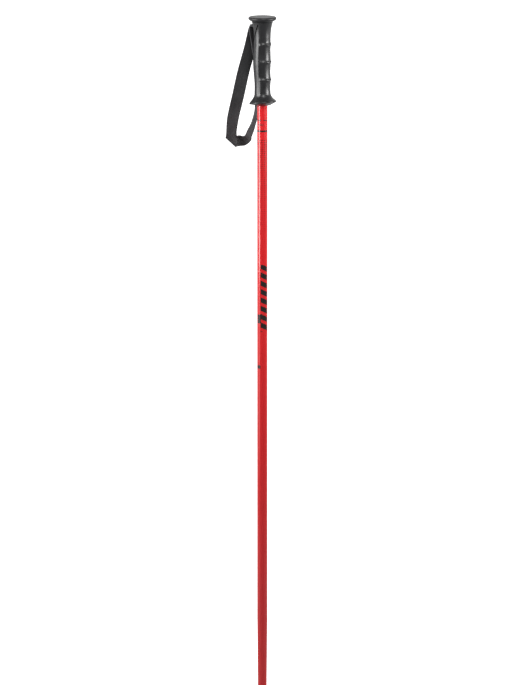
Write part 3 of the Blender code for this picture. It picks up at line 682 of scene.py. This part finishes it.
def slanted_bars(tree, arc, height, low, high, left, right, pitch, share):
    """A column of slanted bars in a window on the tube."""
    lean = maths(tree, "MULTIPLY_ADD", arc, 0.45, height)
    bar = maths(tree, "ABSOLUTE", repeated(tree, lean, pitch))
    bar = spread(tree, bar, pitch * share / 2 - 0.0002, pitch * share / 2 + 0.0002, 1.0, 0.0)
    window = maths(tree, "MULTIPLY", between(tree, height, low, high), between(tree, arc, left, right))
    return maths(tree, "MULTIPLY", bar, window)


# %% The lacquer
TUBE_RADIUS = 0.008
FACING = -math.pi / 4


def lacquer():
    material, tree, shader = new_finish(
        "tube_red", Roughness=0.4, Specular_IOR_Level=0.0, Coat_Weight=1.0, Coat_Roughness=0.08, Coat_IOR=1.5)
    vector = place(tree)
    parts = tree.nodes.new("ShaderNodeSeparateXYZ")
    tree.links.new(vector, parts.inputs["Vector"])
    height = parts.outputs["Z"]
    angle = maths(tree, "ARCTAN2", parts.outputs["Y"], parts.outputs["X"])
    arc = maths(tree, "MULTIPLY", maths(tree, "SUBTRACT", angle, FACING), TUBE_RADIUS)

    # The red is painted darker towards the tip: partly a deeper lacquer, partly painted shade for the light
    # falling off down the tube.
    tone_and_painted_falloff = spread(tree, height, -0.85, -0.10, 0.0, 1.0)
    red = blended(tree, tone_and_painted_falloff, (0.31, 0.011, 0.013), (0.58, 0.014, 0.018))
    flakes = spread(tree, noise(tree, vector, 2400.0, 2.0), 0.35, 0.75, 0.0, 0.16)
    red = blended(tree, flakes, red, (0.90, 0.06, 0.06))
    cloudy = spread(tree, noise(tree, place(tree, (1.0, 1.0, 0.2)), 30.0), 0.35, 0.7, 0.0, 0.10)
    red = blended(tree, cloudy, red, (0.35, 0.008, 0.010))

    print_masks = [
        between(tree, height, -0.1089, -0.1062),
        maths(tree, "MULTIPLY", between(tree, height, -0.0915, -0.0901),
              spread(tree, maths(tree, "ABSOLUTE", repeated(tree, arc, 0.0126)), 0.0045, 0.0048, 1.0, 0.0)),
        dots(tree, arc, height, -0.1215, -0.3005),
        slanted_bars(tree, arc, height, -0.4190, -0.3150, -0.0026, 0.0088, 0.0130, 0.62),
        slanted_bars(tree, arc, height, -0.4060, -0.3925, -0.0085, -0.0024, 0.0300, 0.80),
        maths(tree, "MULTIPLY", between(tree, height, -0.4768, -0.4714),
              between(tree, arc, -0.0090, -0.0030)),
    ]
    ink = print_masks[0]
    for mask in print_masks[1:]:
        ink = maths(tree, "MAXIMUM", ink, mask)
    line = between(tree, height, -0.0990, -0.0962)
    label = maths(tree, "MULTIPLY", line, between(tree, arc, -0.0078, 0.0018))
    stripes = spread(tree, maths(tree, "ABSOLUTE", repeated(tree, arc, 0.0017)), 0.0005, 0.0006, 1.0, 0.0)
    label = maths(tree, "MULTIPLY", label, stripes)

    skin = blended(tree, ink, red, (0.018, 0.014, 0.014))
    skin = blended(tree, maths(tree, "MULTIPLY", label, 0.9), skin, (0.06, 0.04, 0.04))
    tree.links.new(skin, shader.inputs["Base Color"])
    tree.links.new(spread(tree, noise(tree, vector, 90.0), 0.3, 0.7, 0.26, 0.38), shader.inputs["Roughness"])
    peel = maths(tree, "MULTIPLY_ADD", ink, 0.15, noise(tree, vector, 700.0, 2.0))
    raise_surface(tree, shader, peel, 0.00001, 0.5)
    return material


TUBE_RED = lacquer()

# %% Turn the tube
MOUTH_RADIUS = 0.00635
FERRULE_MOUTH_Z = -1.0372
TAPER_TOP_Z = FERRULE_MOUTH_Z + 0.169


def tube_radius(height):
    slope = (TUBE_RADIUS - MOUTH_RADIUS) / (TAPER_TOP_Z - FERRULE_MOUTH_Z)
    return min(TUBE_RADIUS, MOUTH_RADIUS + slope * (height - FERRULE_MOUTH_Z))


tube_low = FERRULE_MOUTH_Z - 0.032
heights = [0.0185 - (0.0185 - TAPER_TOP_Z) * step / 60 for step in range(60)]
heights += [TAPER_TOP_Z - (TAPER_TOP_Z - tube_low) * step / 20 for step in range(21)]
outer = [(tube_radius(height), height) for height in heights]
inner = [(radius - 0.0011, height) for radius, height in reversed(outer[::4])]
tube = add_piece("lacquered_tube", turned(outer + inner, 128, closed=True), TUBE_RED, "pole")
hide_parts("shaft_tube")

# %% [markdown]
# ## The lower end
# A plastic ferrule closes the tube and carries the basket between a collar and a row of barbs. The
# basket keeps the pole from sinking into snow. The steel point is pressed into the ferrule's end,
# and a shallow cup in its face gives it a sharp biting edge. All three are turned, then their edges
# are rounded with a bevel, and the basket's windows are cut out.

# %% Steel
def turned_steel(name):
    material, tree, shader = new_finish(name, Metallic=1.0, Roughness=0.3, Specular_IOR_Level=0.5)
    lines = noise(tree, place(tree, (60.0, 60.0, 5200.0)), 1.0, 3.0)
    worn = noise(tree, place(tree), 700.0, 4.0, 0.6)
    skin = blended(tree, spread(tree, worn, 0.45, 0.75, 0.0, 1.0), (0.60, 0.60, 0.62), (0.34, 0.33, 0.33))
    tree.links.new(skin, shader.inputs["Base Color"])
    tree.links.new(spread(tree, lines, 0.3, 0.7, 0.22, 0.42), shader.inputs["Roughness"])
    raise_surface(tree, shader, lines, 0.00003, 0.6)
    return material


STEEL = turned_steel("turned_steel")

# %% Ferrule
FERRULE_END_Z = -1.1182
ferrule_profile = [
    (0.0, -1.0695), (0.00634, -1.0695), (0.00665, FERRULE_MOUTH_Z), (0.0078, FERRULE_MOUTH_Z),
    (0.0084, -1.0382), (0.0084, -1.0480), (0.0084, -1.0532), (0.0108, -1.0542), (0.0112, -1.0550),
    (0.0112, -1.0572), (0.0084, -1.0572), (0.0084, -1.0723), (0.0096, -1.0727), (0.0076, -1.0753),
    (0.0070, -1.0830), (0.0061, -1.0980), (0.0047, FERRULE_END_Z), (0.0030, FERRULE_END_Z), (0.0030, -1.0979),
    (0.0, -1.0979)]
ferrule = add_piece(
    "ferrule_moulding", soften(turned(ferrule_profile, 96), 0.00025), TIP_BLACK, "pole")
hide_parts("ferrule")

# %% Point
point_profile = [
    (0.0, -1.0982), (0.0027, -1.0982), (0.0027, -1.1185), (0.0044, -1.1185), (0.0044, -1.1205),
    (0.0034, -1.1293), (0.0030, -1.1305), (0.0015, -1.1305), (0.0, -1.1293)]
point = add_piece("point_steel", soften(turned(point_profile, 72), 0.00012), STEEL, "pole")
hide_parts("steel_point")

# %% Basket
basket_low, basket_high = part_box("basket")
web = basket_low.z + 0.0051
basket_profile = [
    (0.0087, basket_high.z), (0.0104, basket_high.z), (0.0111, basket_high.z - 0.0007), (0.0111, web + 0.0026),
    (0.0125, web + 0.0014), (0.0270, web + 0.0051), (0.0270, web + 0.0055), (0.0277, web + 0.0062),
    (0.0293, web + 0.0062), (0.0300, web + 0.0055), (0.0300, web + 0.0025), (0.0293, web + 0.0018),
    (0.0270, web + 0.0018), (0.0270, web + 0.0029), (0.0125, web - 0.0010), (0.0111, web - 0.0020),
    (0.0111, basket_low.z), (0.0087, basket_low.z)]
basket_shape = soften(turned(basket_profile, 128, closed=True), 0.0003)
basket = add_piece("basket_moulding", basket_shape, TIP_BLACK, "basket")
WINDOW_COUNT = 6
WINDOW_RADIUS = 0.0042
WINDOW_CIRCLE = 0.0195
windows = bmesh.new()
for index in range(WINDOW_COUNT):
    angle = 2 * math.pi * (index + 0.5) / WINDOW_COUNT
    placed = Matrix.Translation((WINDOW_CIRCLE * math.cos(angle), WINDOW_CIRCLE * math.sin(angle), web))
    bmesh.ops.create_cone(
        windows, cap_ends=True, segments=48, radius1=WINDOW_RADIUS, radius2=WINDOW_RADIUS, depth=0.03,
        matrix=placed)
carve(basket, [(loose("windows", windows), "DIFFERENCE")])
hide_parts("basket")

# %% Pieces kept from the part
for node, finish, slot in (("strap_pin", STEEL, "steel"), ("shaft_end_cap", TIP_BLACK, "tip_plastic")):
    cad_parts[node].data.materials.clear()
    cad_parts[node].data.materials.append(finish)
    print(node, "keeps its shape and gets", finish.name)

# %% [markdown]
# ## The studio
# A slim glossy object is shaped by what it reflects. On each side of the camera a bright soft box
# stands in front of a wider, dimmer one, so that each side draws one long highlight down the tube
# and the grip. A key light above the camera shows the faces that turn upwards. White paper below
# and a white room behind give the clean background. A Light Path node lets the camera see both as
# white while the pole reflects them darker, which keeps the black and the red from turning grey.

# %% Directions seen from the camera
AZIMUTH = math.radians(45)
ELEVATION = math.radians(8.5)
AWAY = Vector((-math.sin(AZIMUTH), math.cos(AZIMUTH), 0.0))
RIGHT = Vector((math.cos(AZIMUTH), math.sin(AZIMUTH), 0.0))
BACK = -AWAY * math.cos(ELEVATION) + Vector((0.0, 0.0, math.sin(ELEVATION)))
print("the camera looks along", [round(part, 2) for part in AWAY])


def towards(tree, vector, direction):
    """How far a point or a direction lies along another direction."""
    node = tree.nodes.new("ShaderNodeVectorMath")
    node.operation = "DOT_PRODUCT"
    tree.links.new(vector, node.inputs[0])
    node.inputs[1].default_value = direction
    return node.outputs["Value"]


# %% Floor
def paper():
    """White paper that glows behind the pole. The camera sees it paler than the pole's skin does."""
    material, tree, shader = new_finish("white_paper", Base_Color=(0.80, 0.80, 0.80, 1.0), Roughness=0.9)
    shader.inputs["Emission Color"].default_value = (1.0, 1.0, 1.0, 1.0)
    lit = spread(tree, towards(tree, place(tree), AWAY), -0.1, 1.0, 0.0, 0.75)
    seen = tree.nodes.new("ShaderNodeLightPath").outputs["Is Camera Ray"]
    tree.links.new(maths(tree, "MULTIPLY_ADD", seen, 0.6, lit), shader.inputs["Emission Strength"])
    tree.links.new(blended(tree, seen, (0.22, 0.22, 0.22), (0.80, 0.80, 0.80)), shader.inputs["Base Color"])
    return material


FLOOR_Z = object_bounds()[0].z - 0.0005
sheet = bmesh.new()
bmesh.ops.create_grid(sheet, x_segments=1, y_segments=1, size=14.0)
bmesh.ops.translate(sheet, verts=sheet.verts, vec=(0.0, 0.0, FLOOR_Z))
floor = loose("paper_floor", sheet)
floor.data.materials.append(paper())
print("floor at", round(1000 * FLOOR_Z, 1), "mm")

# %% Lights
def soft_box(name, bearing, distance, height, width, tall, brightness, aim_z):
    """A rectangular light, at a bearing to the right of the camera, that points at the pole."""
    direction = -AWAY * math.cos(math.radians(bearing)) + RIGHT * math.sin(math.radians(bearing))
    light = bpy.data.lights.new(name, "AREA")
    light.shape = "RECTANGLE"
    light.size = width
    light.size_y = tall
    light.energy = brightness * math.pi * width * tall
    lamp = bpy.data.objects.new(name, light)
    lamp.location = direction * distance + Vector((0.0, 0.0, height))
    pointing = Vector((0.0, 0.0, aim_z)) - lamp.location
    lamp.rotation_euler = pointing.to_track_quat("-Z", "Y").to_euler()
    bpy.context.scene.collection.objects.link(lamp)
    print(name, round(light.energy), "W")


soft_box("left_core", -68, 2.4, 0.30, 1.45, 2.0, 8.5, 0.0)
soft_box("left_wide", -72, 3.2, 0.10, 2.0, 2.6, 1.6, -0.2)
soft_box("right_core", 76, 2.4, 0.20, 1.20, 0.8, 20.0, 0.0)
soft_box("right_wide", 66, 3.0, 0.25, 1.1, 1.7, 1.8, 0.0)
soft_box("key", 12, 2.6, 1.9, 1.4, 1.4, 8.0, -0.1)

# %% The room round the studio
world = bpy.data.worlds.new("studio")
world.use_nodes = True
tree = world.node_tree
where = tree.nodes.new("ShaderNodeTexCoord")
bright = spread(tree, towards(tree, where.outputs["Generated"], AWAY), 0.10, 0.85, 0.16, 1.05)
seen = tree.nodes.new("ShaderNodeLightPath").outputs["Is Camera Ray"]
tree.links.new(maths(tree, "MAXIMUM", bright, seen), tree.nodes["Background"].inputs["Strength"])
tree.nodes["Background"].inputs["Color"].default_value = (1.0, 1.0, 1.0, 1.0)
bpy.context.scene.world = world
bpy.context.scene.view_settings.view_transform = "Standard"

# %% Camera
camera_data = bpy.data.cameras.new("camera")
camera_data.lens = 800
camera_data.sensor_width = 36
camera_data.clip_end = 100
camera = bpy.data.objects.new("camera", camera_data)
camera.location = Vector((0.0, 0.0, -0.4369)) - 0.0082 * RIGHT + 23.457 * BACK
camera.rotation_mode = "QUATERNION"
camera.rotation_quaternion = (-BACK).to_track_quat("-Z", "Y")
bpy.context.scene.collection.objects.link(camera)
bpy.context.scene.camera = camera
